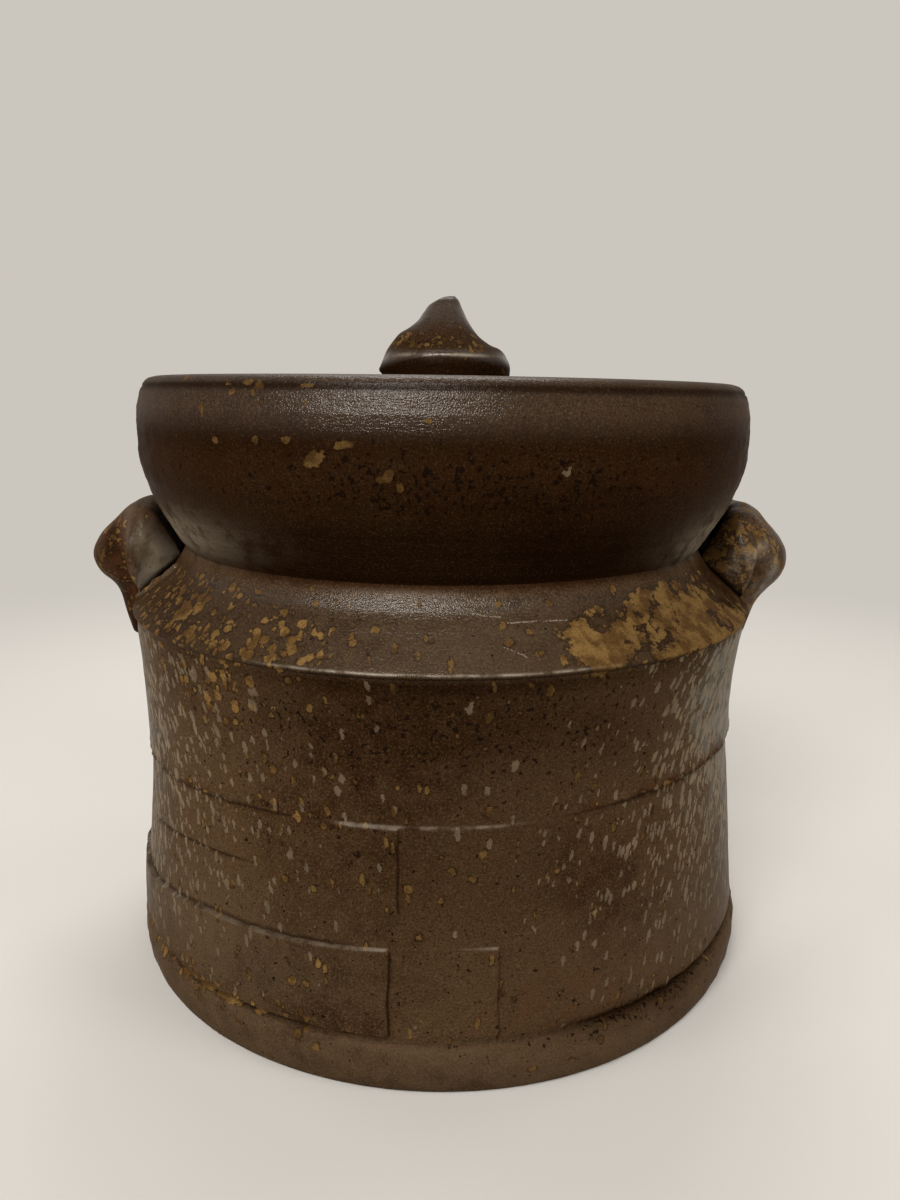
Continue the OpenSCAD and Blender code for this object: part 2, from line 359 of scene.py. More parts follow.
def dark_and_shade_share(phi, z):
    """Dark clay, and painted shade in the grooves at the foot and under the lip."""
    zones = jar_zones(z)
    aside = np.abs(phi)
    share = marked(DARK_AND_SHADE, phi, z)
    # painted shade in the groove under the lip; the bowl's clay is less dark at its middle and top
    bowl = 0.6 * in_lip_groove(z) - 0.12 * hill(z, 145, 9) - 0.4 * ease(154, 162, z)
    share += zones["bowl"] * bowl
    # painted shade in the groove over the foot, on its sides
    share += 0.85 * hill(z, slab_top + 0.7, 0.9) * ease(14, 28, aside)
    return share + 0.3 * zones["shoulder"] * ease(15, 35, aside)


def sheen_share(phi, z):
    """Gloss, strongest on the front of the bowl and the neck."""
    zones = jar_zones(z)
    facing = 0.08 + 0.92 * hill(phi, -8, 37)
    bowl = 0.75 * facing * ease(153, 161, z) * (1 - 0.8 * in_lip_groove(z))
    shoulder = facing * (0.28 + 0.72 * hill(z, neck_z - 2, 3.5))
    wall = 0.02 + 0.18 * ease(45, 80, np.abs(phi))
    return zones["bowl"] * bowl + zones["shoulder"] * shoulder + zones["wall"] * wall


def jar_paint(phi, z, outside=1, along=None):
    """Shares of the jar's marks and of its painted light and shade, and coordinates for flecks."""
    marks = layers(marked(ASH, phi, z), ochre_share(phi, z), marked(PALE, phi, z))
    tints = layers(marked(DOTS, phi, z), marked(GREY_SHEEN_AND_REFLECTION, phi, z), red_share(phi, z))
    worn_and_lit = hill(z, edge_z + 0.15, 0.22) * through(phi, *EDGE_WEAR_AND_HIGHLIGHT) + marked(BOWL_REFLECTION, phi, z)
    shade = layers(dark_and_shade_share(phi, z), sheen_share(phi, z), worn_and_lit)
    return {"marks": np.clip(marks * np.asarray(outside)[..., None], 0, 1),
            "tints": np.clip(tints, 0, 1),
            "shade": np.clip(shade, 0, 1),
            "flow": flow(phi, z if along is None else along)}


# How much ash reached the inside of the jar, and the ledge under its lid
INSIDE_MARKS = 0.3
LEDGE_MARKS = 0.2


# Base slab

# Its side from the bottom up: distance out from its radius, and height
SLAB_SIDE = (
    (-3.6, 0), (-2.1, 0.15), (-1.2, 0.9), (-0.6, 2.4), (-0.2, 4.6), (0, 7.2), (-0.15, 9.6),
    (-0.6, 11.4), (-1.5, 12.6), (-3.2, 13))
# The slab spread a little at the front under the weight of the wall
FRONT_SPREAD = 0.9
# Radius at which the fans in the slab's middle begin
MIDDLE_R = 8


def build_slab(material):
    side = spline([(slab_r + out, up) for out, up in SLAB_SIDE], 3)
    outline = np.concatenate([straight((MIDDLE_R, 0), (slab_r - 5, 0), 5), side,
                              straight((slab_r - 6, slab_top), (MIDDLE_R, slab_top), 5)])
    phi, r, z = swept(outline)
    points = on_jar(phi, r, z)
    swell = 0.5 * rough(points * (1, 1, 0.4), 24) + 0.36 * rough(points, 7, 3.1)
    swell += 0.12 * rough(points, 2.6, 6.6)
    crumbs = np.maximum(rough(points, 2.2, 5.5), 0) * ease(10, 20, np.abs(phi))
    swell += 0.7 * crumbs * hill(z, slab_top - 1.2, 1.4)
    on_side = ease(0.2, 2.5, z) * (1 - ease(slab_top - 1, slab_top, z))
    spread = FRONT_SPREAD * hill(phi, 18, 40) * ease(slab_r - 9, slab_r - 4, r)
    points = on_jar(phi, r + spread + swell * on_side, z)
    return grid_piece("foot_slab", points, jar_paint(phi, z), material, ring=False)


# Body wall, built up from strips of clay whose edges stand proud

# Heights of the strips' edges, with the rows of points beside each
LOW_LEDGE = 36
GROOVE = 52
HIGH_LEDGE = 67
ROW_STEP = 1.3
LEDGE_STEPS = (-2.6, -1.6, -0.9, -0.45, -0.18, 0, 0.16, 0.4, 0.8, 1.5, 2.4)
# Angles of the strips' ends: of the low band, the high strip and the middle piece
BAND_END = -7.6
STRIP_END = -6.3
MIDDLE_END = 8.6
STRIP_ENDS = (BAND_END, STRIP_END, MIDDLE_END)
STRIP_END_STEPS = (-1.1, -0.55, -0.25, -0.1, 0, 0.08, 0.2, 0.45, 0.9)
# Rows in the groove over the foot, as shares of its height
GROOVE_ROWS = (0, 0.25, 0.5, 0.75)
# How deep that groove is round the jar, as angles and shares: the front is almost filled
GROOVE_SHARE = ((-25, 1), (-8, 0.35), (14, 0.35), (28, 1))
INNER_ROWS = 14
# The left of the wall bulges under the shoulder
LEFT_BULGE = 1.4

# How the edges wander up and down round the jar: angles and heights
LOW_WANDER = ((-180, -3), (-110, -8), (-63, -6.5), (-40, -1), (-8, 1), (3, 1.6), (9, 1.5), (12, 3.5),
              (20, 9), (30, 11), (60, 6), (120, 0), (180, -3))
GROOVE_WANDER = ((-180, 0), (-75, -6), (-61, -5), (-44, -1.4), (-30, 0), (180, 0))
HIGH_WANDER = ((-180, -1), (-100, -4.5), (-62, -3), (-30, -0.5), (-13.5, 0.3), (9, 0.6), (30, 1.6),
               (50, 2), (80, 2), (130, 0), (180, -1))
# How far the clay under an edge stands out round the jar: angles and distances
HIGH_EDGE = ((-180, -0.2), (-110, -0.4), (-75, -0.8), (-30, -0.6), (-17, -0.2), (-13.5, 0.75),
             (-6.5, 0.75), (-5.6, 0.15), (-2.9, 0.15), (-2.5, 0.7), (9, 0.6), (12, 0.1), (22, -0.4),
             (45, -1), (75, -1.1), (110, -0.4), (180, -0.2))
LOW_EDGE = ((-180, 0.35), (-120, 0.7), (-70, 1.3), (-40, 1.15), (-15, 0.85), (-7.6, 0.8))
LOW_EDGE_BACK = ((100, 0), (180, 0.35))
# Where the edges are pale with wear and carry painted highlights: angles and shares
HIGH_WEAR_AND_HIGHLIGHT = ((-16, 0), (-13.5, 0.5), (-6.5, 0.45), (-5.6, 0.1), (-2.9, 0.1), (-2.5, 0.35), (8, 0.3),
             (10, 0.1), (20, 0))
LOW_WEAR_AND_HIGHLIGHT = ((-110, 0), (-70, 0.1), (-40, 0.15), (-15, 0.25), (-8, 0.45), (-7.4, 0), (2.5, 0),
            (3.2, 0.4), (8.4, 0.4), (8.8, 0))
# Where an ochre crust lies on the high edge: angles and shares
HIGH_CRUST = ((-120, 0), (-80, 0.5), (-30, 0.5), (-14, 0), (14, 0), (30, 1), (90, 1), (130, 0))


def wall_r(z):
    down = np.clip((WAIST_Z - z) / (WAIST_Z - slab_top), 0, 1) ** 1.2
    up = np.clip((z - WAIST_Z) / (wall_top - WAIST_Z), 0, 1) ** 2
    return WAIST_R + (FOOT_R - WAIST_R) * down + (WALL_TOP_R - WAIST_R) * up


def wall_rows():
    """Heights of the wall's rows before the edges wander."""
    edges = (LOW_LEDGE, GROOVE, HIGH_LEDGE)
    fine = [edge + step for edge in edges for step in LEDGE_STEPS]
    plain = [z for z in np.arange(slab_top + FOOT_GROOVE_H, wall_top, ROW_STEP)
             if all(abs(z - edge) > 3 for edge in edges)]
    return np.array(sorted(fine + plain + [wall_top]))


def row_heights(phi, row):
    """Heights of the rows, which follow the edges round the jar."""
    low, groove, high = (through(phi, *w) for w in (LOW_WANDER, GROOVE_WANDER, HIGH_WANDER))
    wander = np.stack([0 * phi, low, groove, high, 0 * phi])
    levels = np.array([slab_top, LOW_LEDGE, GROOVE, HIGH_LEDGE, wall_top])
    k = np.clip(np.searchsorted(levels, row, side="right") - 1, 0, len(levels) - 2)
    t = ((row - levels[k]) / (levels[k + 1] - levels[k]))[:, None]
    return row[:, None] + wander[k] * (1 - t) + wander[k + 1] * t


def below(row, edge):
    """1 under an edge and 0 over it, with its crisp face between."""
    return through(row - edge, (-0.45, 1), (-0.18, 0.92), (0, 0.35), (0.16, 0))


def left_of(phi, end):
    """1 on the left of a strip's end."""
    return through(phi, (end - 0.1, 1), (end, 0.9), (end + 0.08, 0))


def along_end(row, end, softness):
    """Share of a strip's end at each row."""
    if end == STRIP_END:
        return ease(45 - softness, 45 + softness, row) * (1 - ease(64, 66, row))
    return 1 - ease(LOW_LEDGE - 1.5, LOW_LEDGE - 0.5, row)


def along_groove(phi):
    """Share of the groove cut on the left."""
    return ease(-66, -60, phi) * (1 - ease(-36, -27, phi))


def on_sides(phi):
    """Share of the high edge's crust, on both sides."""
    return ease(16, 30, np.abs(phi)) * (1 - ease(90, 130, np.abs(phi)))


def on_low_left(phi):
    """Share of the low edge's crust, on the left."""
    return ease(-100, -80, phi) * (1 - ease(-16, -10, phi))


def high_relief(phi, row, ragged, crumbs):
    """Relief of the high edge and the strip under it."""
    under = below(row, HIGH_LEDGE)
    edge = through(phi, *HIGH_EDGE) * ragged * under * np.exp((row - HIGH_LEDGE) / 14)
    strip = left_of(phi, STRIP_END) * np.exp(np.minimum(phi - STRIP_END, 0) / 14)
    strip = 0.5 * strip * ease(43, 47, row) * under
    return edge + strip + 1.2 * crumbs * on_sides(phi) * hill(row, HIGH_LEDGE + 0.7, 0.9)


def low_relief(phi, row, ragged, crumbs):
    """Relief of the band under the low edge, and the middle piece beside it."""
    fade = 0.5 + 0.5 * ease(slab_top, LOW_LEDGE, row)
    band = through(phi, *LOW_EDGE) * left_of(phi, BAND_END) + through(phi, *LOW_EDGE_BACK)
    middle = 0.5 * left_of(phi, MIDDLE_END) * np.exp(np.minimum(phi - MIDDLE_END, 0) / 4.5)
    rising = 0.2 * hill(phi, 14, 5) * ragged * np.exp((row - LOW_LEDGE) / 6)
    relief = (fade * (band * ragged + middle) + rising) * below(row, LOW_LEDGE)
    return relief + 0.6 * crumbs * on_low_left(phi) * hill(row, LOW_LEDGE + 0.5, 0.6)


def strip_relief(phi, row):
    """How far the strips stand out."""
    ragged = 1 + 0.45 * rough(on_jar(phi, WAIST_R, row * 0.2), 5, 8.3)
    crumbs = np.maximum(rough(on_jar(phi, WAIST_R, row), 2.4, 3.7), 0)
    relief = high_relief(phi, row, ragged, crumbs) + low_relief(phi, row, ragged, crumbs)
    for end in STRIP_ENDS:
        relief -= 0.16 * hill(phi, end + 0.25, 0.22) * along_end(row, end, 2)
    return relief - 0.4 * along_groove(phi) * hill(row, GROOVE, 0.32)


def crevice_dirt_and_shade(phi, row):
    """Painted shade in the groove, painted shadow under the high edge on the sides, and dirt with
    painted shade along the low edge and beside the strips' ends.
    """
    share = 0.8 * along_groove(phi) * hill(row, GROOVE, 0.5)
    share = share + 0.75 * on_sides(phi) * hill(row, HIGH_LEDGE - 0.2, 0.9)
    share = share + 0.85 * on_low_left(phi) * hill(row, LOW_LEDGE + 0.45, 0.55)
    for end in STRIP_ENDS:
        strength = 0.45 if end == MIDDLE_END else 0.9
        share = share + strength * hill(phi, end + 0.2, 0.2) * along_end(row, end, 1)
    return np.clip(share, 0, 1)


def worn_and_lit_edges(phi, row):
    """The strips' upper edges, pale with wear and with painted highlights."""
    high = through(phi, *HIGH_WEAR_AND_HIGHLIGHT) * hill(row, HIGH_LEDGE - 0.1, 0.25)
    return high + through(phi, *LOW_WEAR_AND_HIGHLIGHT) * hill(row, LOW_LEDGE - 0.1, 0.25)


def wall_outside(phi, row):
    """The wall's outside over the groove at its foot."""
    z = row_heights(phi, row)
    wobble = 0.12 * np.sin(row / 5) + 0.08 * np.sin(row / 2.1)
    near_end = hill(phi, -7, 3) + hill(phi, MIDDLE_END, 3)
    turned = phi[None, :] + wobble[:, None] * near_end[None, :]
    r = wall_r(z) + strip_relief(phi[None, :], row[:, None])
    points = on_jar(turned, r, z)
    uneven = 0.28 * rough(points, 38, 1.7) + 0.1 * rough(points, 9, 5.2)
    uneven += 0.05 * rough(points, 3, 2.4) + LEFT_BULGE * spot(phi[None, :], z, -74, 80, 32, 19)
    return on_jar(turned, r + uneven * ease(0, 4, wall_top - z), z)


def wall_foot(phi, lowest_r):
    """The crumbly groove over the foot, up to the wall's lowest row."""
    depth = through(phi, *GROOVE_SHARE)
    at_foot = on_jar(phi, FOOT_R, 0)
    foot_r = wall_r(slab_top) - FOOT_GROOVE_DEPTH * depth
    foot_r += 0.45 * rough(at_foot, 5, 4.4) + 0.3 * rough(at_foot, 2.2, 9.4)
    share = np.array(GROOVE_ROWS)[:, None]
    z = slab_top + FOOT_GROOVE_H * share
    r = foot_r + (lowest_r - foot_r) * share ** 2
    crumbs = np.maximum(rough(on_jar(phi, r, z), 1.8, 2.7), 0)
    return on_jar(phi, r + 0.9 * crumbs * depth, z)


def paint_strips(front, phi, row):
    """Adds dirt with painted shade, wear with painted highlights, and crust to the wall's outside."""
    front["shade"][..., 0] = np.maximum(front["shade"][..., 0], crevice_dirt_and_shade(phi[None, :], row[:, None]))
    front["shade"][..., 2] = worn_and_lit_edges(phi[None, :], row[:, None])
    broken = ease(-0.25, 0.35, rough(on_jar(phi, WAIST_R, 0), 9, 5.5))
    crust = broken * through(phi, *HIGH_CRUST) * hill(row, HIGH_LEDGE + 0.6, 1.5)[:, None]
    front["marks"][..., 0] += 0.5 * crust
    front["marks"][..., 1] += 0.55 * crust
    front["marks"][..., 2] *= 1 - crust
    front["tints"][..., 2] += 0.6 * crust
    front["shade"][..., 0] += 0.3 * crust


def build_wall(material):
    phi = columns([end + step for end in STRIP_ENDS for step in STRIP_END_STEPS])
    row = wall_rows()
    outer = wall_outside(phi, row)
    foot = wall_foot(phi, np.hypot(outer[0, :, 0], outer[0, :, 1]))
    inner_z = np.linspace(wall_top, slab_top, INNER_ROWS)[:, None]
    inner = on_jar(phi, wall_r(inner_z) - WALL_T, inner_z)
    points = np.concatenate([foot, outer, inner])
    outside = np.ones(points.shape[:2])
    outside[-len(inner):] = INSIDE_MARKS
    z = points[..., 2]
    paint = jar_paint(phi + 0 * z, z, outside)
    front = {key: values[len(foot):-len(inner)] for key, values in paint.items()}
    paint_strips(front, phi, row)
    return grid_piece("wall", points, paint, material, ring=True)


# Shoulder

# Ripples that the potter's finger left round the neck
RIPPLE_PLACE = 8
RIPPLE_H = 0.07
# The round into the neck: distances out from the neck and up from its foot
NECK_FILLET = ((4.75, -4.35), (4.1, -3.4), (3.4, -2.35), (2.7, -1.3), (2, -0.1), (1.5, 0.8))


def shoulder_z(r):
    return edge_z + (edge_r - r) * (neck_z - edge_z) / (edge_r - NECK_R)


def shoulder_outside():
    """From the wall's top over the crisp edge to the neck."""
    return np.concatenate([
        straight((WALL_TOP_R - 0.1, wall_top), (WALL_TOP_R - 0.1, edge_z - 1.3), 2),
        spline([(edge_r - 0.4, edge_z - 0.8), (edge_r - 0.05, edge_z - 0.35),
                (edge_r - 0.05, edge_z + 0.1), (edge_r - 0.5, edge_z + 0.65)], 3),
        straight((edge_r - 1.4, edge_z + 1.45), (NECK_R + 5.2, shoulder_z(NECK_R + 5.2)), 26),
        spline([(NECK_R + out, neck_z + up) for out, up in NECK_FILLET], 3)])


def build_shoulder(material):
    outer = shoulder_outside()
    inner = np.array([(NECK_R, neck_z + 2.2), (NECK_R - 4, neck_z + 1), (NECK_R - NECK_T, neck_z),
                      (NECK_R - NECK_T, neck_z - 3.5), (WALL_TOP_R - WALL_T, wall_top)])
    outline = np.concatenate([outer, inner])
    is_outer = (np.arange(len(outline)) < len(outer))[:, None]
    phi, r, z = swept(outline)
    points = on_jar(phi, r, z)
    uneven = 0.16 * rough(points, 26, 7.7) + 0.09 * rough(points, 6, 9.1)
    ripples = np.cos(4 * math.pi * (r - NECK_R - RIPPLE_PLACE) / RIPPLE_PLACE)
    uneven += RIPPLE_H * hill(r, NECK_R + RIPPLE_PLACE, RIPPLE_PLACE / 2) * ripples
    on_top = ease(wall_top, edge_z, z) * is_outer
    points = lean(on_jar(phi, r, z + uneven * on_top))
    along = np.concatenate([[0], np.cumsum(np.hypot(*np.diff(outline, axis=0).T))])[:, None]
    paint = jar_paint(phi, z, np.where(is_outer, 1, INSIDE_MARKS), wall_top + along)
    return grid_piece("shoulder", points, paint, material, ring=True)


# Mouth bowl

BOWL_FLARE = math.radians(56)
BOWL_PULL = 11
# The lip from the upright wall to its top: distances in from the bowl's side and down from the rim
LIP = ((0, 16), (0.05, 12.4), (0.2, 9), (0.5, 6.6), (1.2, 4), (2.2, 2), (3.6, 0.6), (5.4, 0))
LIP_INNER_R = 2.4
# Lines that throwing left round the bowl: their spacing and depth, and how they climb with the angle
THROWING_LINES = ((1.9, 0.025), (3.7, 0.03), (6.1, 0.04), (11, 0.08))
THROWING_CLIMB = 0.006


def bowl_curve(from_r, to_r, steps):
    """The flare from the neck to the upright wall."""
    foot = np.array([from_r, neck_z])
    flare = BOWL_PULL * np.array([math.cos(BOWL_FLARE), math.sin(BOWL_FLARE)])
    return bezier(foot, foot + flare, (to_r, ledge_low_z - BOWL_PULL), (to_r, ledge_low_z), steps)


def build_bowl(material):
    lip = spline([(bowl_r - inward, rim_z - down) for inward, down in LIP], 5)
    outer = np.concatenate([bowl_curve(NECK_R, bowl_r, 56), lip])
    inner = np.concatenate([arc((mouth_r + LIP_INNER_R, rim_z - LIP_INNER_R), LIP_INNER_R, 92, 180, 6),
                            straight((mouth_r, rim_z - 3.5), (mouth_r, ledge_low_z + 0.5), 8),
                            bowl_curve(NECK_R - NECK_T, mouth_r, 14)[::-1]])
    outline = np.concatenate([outer, inner])
    is_outer = (np.arange(len(outline)) < len(outer))[:, None]
    phi, r, z = swept(outline)
    points = on_jar(phi, r, z)
    lines = sum(size * np.sin(2 * math.pi * (z + THROWING_CLIMB * phi) / length)
                for length, size in THROWING_LINES)
    lines -= 0.3 * hill(z, rim_z - LIP_GROOVE_Z, 0.35)
    uneven = 0.3 * rough(points, 45, 6.3) + 0.07 * rough(points, 7, 2.9)
    free = ease(neck_z, neck_z + 4, z) * is_outer
    points = lean(on_jar(phi, r + (lines + uneven) * free, z))
    paint = jar_paint(phi, z, np.where(is_outer, 1, INSIDE_MARKS))
    return grid_piece("bowl", points, paint, material, ring=True)


# Ledge inside the mouth

LEDGE_W = 7
LEDGE_ROUND = 1.2


def build_ledge(material):
    nose = mouth_r - LEDGE_W
    outline = np.concatenate([
        straight((mouth_r, ledge_low_z), (mouth_r, seat_z), 4),
        straight((mouth_r - 2, seat_z), (nose + LEDGE_ROUND, seat_z), 3),
        arc((nose + LEDGE_ROUND, seat_z - LEDGE_ROUND), LEDGE_ROUND, 100, 180, 4),
        straight((nose, seat_z - 2 * LEDGE_ROUND), (mouth_r - 1, ledge_low_z + 0.2), 5)])
    phi, r, z = swept(outline)
    points = on_jar(phi, r, z)
    free = ease(0.5, 4, mouth_r - r) * (z < seat_z - 0.3)
    points = lean(on_jar(phi, r + 0.3 * free * rough(points, 14, 1.1), z))
    return grid_piece("ledge", points, jar_paint(phi, z, LEDGE_MARKS), material, ring=True)


# Ears

EAR_HALF_ANGLE = 12
EAR_STATIONS = 41
EAR_SINK = 0.3
# Sections of an ear at its middle and at its ends, from inside its crown to the pinch under it:
# distances out and up from the shoulder's edge, and the share of its width kept there
EAR_MIDDLE = (
    (-12, 18.6, 1), (-9.2, 23.8, 1), (-6.2, 27.8, 0.98), (-1.6, 29.2, 0.96),
    (2.8, 27, 0.95), (6.8, 23.2, 0.96), (11.6, 18.6, 0.98), (14.3, 12.6, 0.98),
    (12.8, 7, 0.94), (8, 2.2, 0.9))
EAR_END = (
    (-11.6, 17.6, 1), (-8.8, 22.2, 1), (-6.2, 26, 1), (-4, 27.2, 1),
    (-1.8, 26, 1), (0.4, 22.6, 1), (1.4, 17.8, 1), (1.4, 12.6, 1),
    (0.4, 8, 0.96), (-1.6, 3.8, 0.92))
EAR_ROOT_R = 14.3
# Rings that round off an end: their size, and how far out they lie
CAP_RINGS = ((0.9, 1.9), (0.7, 4), (0.4, 5))
CAP_DROP = 9
# Height over the shoulder's edge from which an ear swells
EAR_CORE_H = 12
FOLD_W = 2.2
FOLD_WEAR_AND_HIGHLIGHT = 0.22


def on_shoulder(r, share):
    """A section's point sunk into the shoulder."""
    return np.array([r, shoulder_z(r) - EAR_SINK, share])


def ear_tail(foot, turn, tail_t, tail_drop):
    """The flap over the shoulder's edge. It is gone at the ear's ends."""
    tip_z = ear_low_z - tail_drop
    tip_r = float(wall_r(np.array(tip_z)))
    tail = ((edge_r + tail_t - 0.4, edge_z - 4.5, 0.92), (tip_r + tail_t, tip_z, 0.9),
            (tip_r - EAR_SINK, tip_z + 0.4, 0.9), (WALL_TOP_R - EAR_SINK, wall_top, 0.9),
            (edge_r - 1, edge_z - 0.4, 0.9))
    flap = 1 - turn ** 8
    return [foot + flap * (np.array(p) - foot) - (0, 0.1 * i, 0) for i, p in enumerate(tail)]


def ear_section(turn, tail_t, tail_drop):
    """Closed outline of an ear at that share of its half width."""
    full = math.sqrt(max(0, 1 - turn ** 2))
    edge = np.array([edge_r, edge_z, 0])
    free = [edge + np.array(end) + full * (np.array(middle) - np.array(end))
            for middle, end in zip(EAR_MIDDLE, EAR_END)]
    foot = on_shoulder(min(free[-1][0], edge_r) - 0.8, 0.92)
    tail = ear_tail(foot, turn, tail_t, tail_drop)
    root = on_shoulder(edge_r - EAR_ROOT_R, 1)
    return np.concatenate([spline([root] + free + tail[:2], 4), tail[2:]])


def ear_cap(ring, side, turn):
    """Rings that round off an end, the outermost last."""
    away = on_jar(side + math.copysign(90, turn), 1, 0)
    middle = ring.mean(0) - (0, 0, CAP_DROP)
    return [middle + size * (ring - middle) + out * away for size, out in CAP_RINGS]


def ear_rings(side, tail):
    """Rings from end to end, and the share of the half width at each."""
    turns = np.sin(np.linspace(-math.pi / 2, math.pi / 2, EAR_STATIONS))
    rings = []
    for turn in turns:
        r, z, share = ear_section(turn, *tail).T
        rings.append(on_jar(side + EAR_HALF_ANGLE * turn * share, r, z))
    rings = ear_cap(rings[0], side, -1)[::-1] + rings + ear_cap(rings[-1], side, 1)
    ends = np.ones(len(CAP_RINGS))
    return np.array(rings), np.concatenate([-ends, turns, ends])


def apart_from(points, start, end):
    """Distances in a plane from the line between two points."""
    start, span = np.array(start), np.subtract(end, start)
    along = np.clip((points - start) @ span / (span @ span), 0, 1)
    return np.linalg.norm(points - start - along[..., None] * span, axis=-1)


def ear_ridges(points, folds):
    """Height of each ridge on an ear's front."""
    on_front = ease(-6, -13, points[..., 1])
    return [height * on_front * hill(apart_from(points[..., ::2], start, end), 0, FOLD_W)
            for start, end, height in folds]


def build_ear(name, side, lumps, tail, folds, paint_ear, material):
    """An ear at angle side. A fold has the x and z of both ends, and its height."""
    points, turns = ear_rings(side, tail)
    around = np.linspace(0, 1, points.shape[1])[None, :] + 0 * turns[:, None]
    free = (around < 0.86) * ease(0, 0.08, around)
    outward = points - on_jar(side, edge_r, edge_z + EAR_CORE_H)
    outward /= np.linalg.norm(outward, axis=-1, keepdims=True)
    bumps = lumps * (rough(points, 12, side) + 0.35 * rough(points, 4.5, side + 2)
                     + 0.15 * rough(points, 2, side + 5))
    ridges = ear_ridges(points, folds)
    points = points + outward * ((bumps + sum(ridges)) * free)[..., None]
    paint = paint_ear(points, turns[:, None] + 0 * around, around)
    # the ridges are pale with wear and a painted highlight, and glossier
    rubbed_and_lit = FOLD_WEAR_AND_HIGHLIGHT * np.max(ridges, axis=0)
    paint["shade"] += layers(0 * rubbed_and_lit, 0.4 * rubbed_and_lit, rubbed_and_lit)
    paint["flow"] = points * MM
    if side > 0:
        points, paint = points[::-1], {key: values[::-1] for key, values in paint.items()}
    piece = grid_piece(name, points, paint, material, ring=False, crease=60)
    rounding = piece.modifiers.new("rounding", "SUBSURF")
    rounding.levels = rounding.render_levels = 1
    return piece


def in_shaded_crevice(turn, around):
    """Share of the face that an ear turns to the bowl, painted dark as shade."""
    return (1 - ease(0.16, 0.27, around)) * (1 - ease(0.85, 0.97, np.abs(turn)))


# Where the left ear's grey front ends: heights, and the x there
GREY_EDGE = ((111.6, -88.2), (121.9, -90.8), (131.1, -91.9))


def paint_left_ear(points, turn, around):
    """A grey front and a red-brown outer face, both blotched, with painted shade on the face turned to
    the bowl and painted light on the lower front.
    """
    x, y, z = np.moveaxis(points, -1, 0)
    blotch = rough(points, 8, 3) + 0.5 * rough(points, 3.5, 6)
    beyond = x - through(z, *GREY_EDGE)
    front = ease(-1.5, 1.5, beyond + 2 * blotch) * ease(-6, -13, y)
    front = front * (1 - 0.6 * ease(123, 130, z))
    outer = 1 - front
    darker = ease(-0.2, 0.35, blotch)
    crevice_shade = in_shaded_crevice(turn, around)
    dark = 0.2 + 0.25 * outer + 0.45 * darker + crevice_shade
    return {"marks": layers(0.2 * outer, 0.38 * outer, 0),
            "tints": layers(0.3, 0.8 * front * (1 - 0.75 * darker), 0.8 * outer + 0.2 * darker),
            # the third share lightens the grey front's lower part as painted light
            "shade": layers(dark, 0.08 - crevice_shade, 0.3 * front * ease(121, 111, z))}


def paint_right_ear(points, turn, around):
    """Dark and ochre mottling all over, and painted shade on the face turned to the bowl."""
    darker = ease(0, 0.5, rough(points, 9, 2) + 0.5 * rough(points, 4, 7))
    crevice_shade = in_shaded_crevice(turn, around)
    return {"marks": layers(0.3 * (1 - crevice_shade), 0.5 * (1 - crevice_shade), 0),
            "tints": layers(0.6 + 0 * turn, 0.2, 0.4),
            "shade": layers(0.2 + 0.4 * darker + crevice_shade, 0.35 - crevice_shade, 0)}


# Roll of slip that lutes the left ear to the shoulder

# Angles and radii along it
SEAM_ROUTE = ((-70, 78.6), (-70.8, 82), (-72.4, 85.2), (-75.2, 88.6), (-80, 92.4), (-82, 93.6))
SEAM_T = 1.2
SEAM_SIDES = 10


def unit(vectors):
    return vectors / np.linalg.norm(vectors, axis=1, keepdims=True)


def build_seam(material):
    phi, r = spline(SEAM_ROUTE, 10).T
    line = on_jar(phi, r, shoulder_z(r))
    ahead = unit(np.gradient(line, axis=0))
    across = unit(np.cross(ahead, (0, 0, 1)))
    over = np.cross(across, ahead)
    share = np.linspace(0, 1, len(line))
    thick = SEAM_T * ease(0, 0.12, share) * ease(1, 0.85, share) + 0.1
    thick = thick * (1 + 0.5 * rough(line, 3, 4))
    turn = np.linspace(0, 2 * math.pi, SEAM_SIDES, endpoint=False)[None, :, None]
    points = line[:, None] + thick[:, None, None] * (
        np.cos(turn) * across[:, None] + np.sin(turn) * over[:, None])
    flat = np.zeros(points.shape[:2])
    paint = {"marks": layers(0.3 + flat, 0.3, 0), "tints": layers(0.4 + flat, 0.35, 0.3),
             "shade": layers(0.2 + flat, 0.3, 0), "flow": points * MM}
    return grid_piece("ear_left_seam", points, paint, material, ring=False, crease=60)


# Lid

LID_T = 7
LID_EDGE = 1.6
LID_MIDDLE_R = 4
# Radii round the knob's foot: where the lid's flat middle ends, and where its unevenness begins
PAD_R = 20
FREE_R = (17, 24)


def lid_outline(top_z):
    """From the underside's middle round the edge to the top's middle."""
    return np.concatenate([
        straight((LID_MIDDLE_R, seat_z), (lid_r - LID_EDGE - 1, seat_z), 10),
        arc((lid_r - LID_EDGE, seat_z + LID_EDGE), LID_EDGE, -88, 0, 5),
        arc((lid_r - LID_EDGE, top_z - LID_EDGE), LID_EDGE, 0, 86, 6),
        straight((lid_r - LID_EDGE - 1.2, top_z), (PAD_R + 1, pad_z), 60),
        straight((PAD_R, pad_z), (LID_MIDDLE_R, pad_z), 8)])


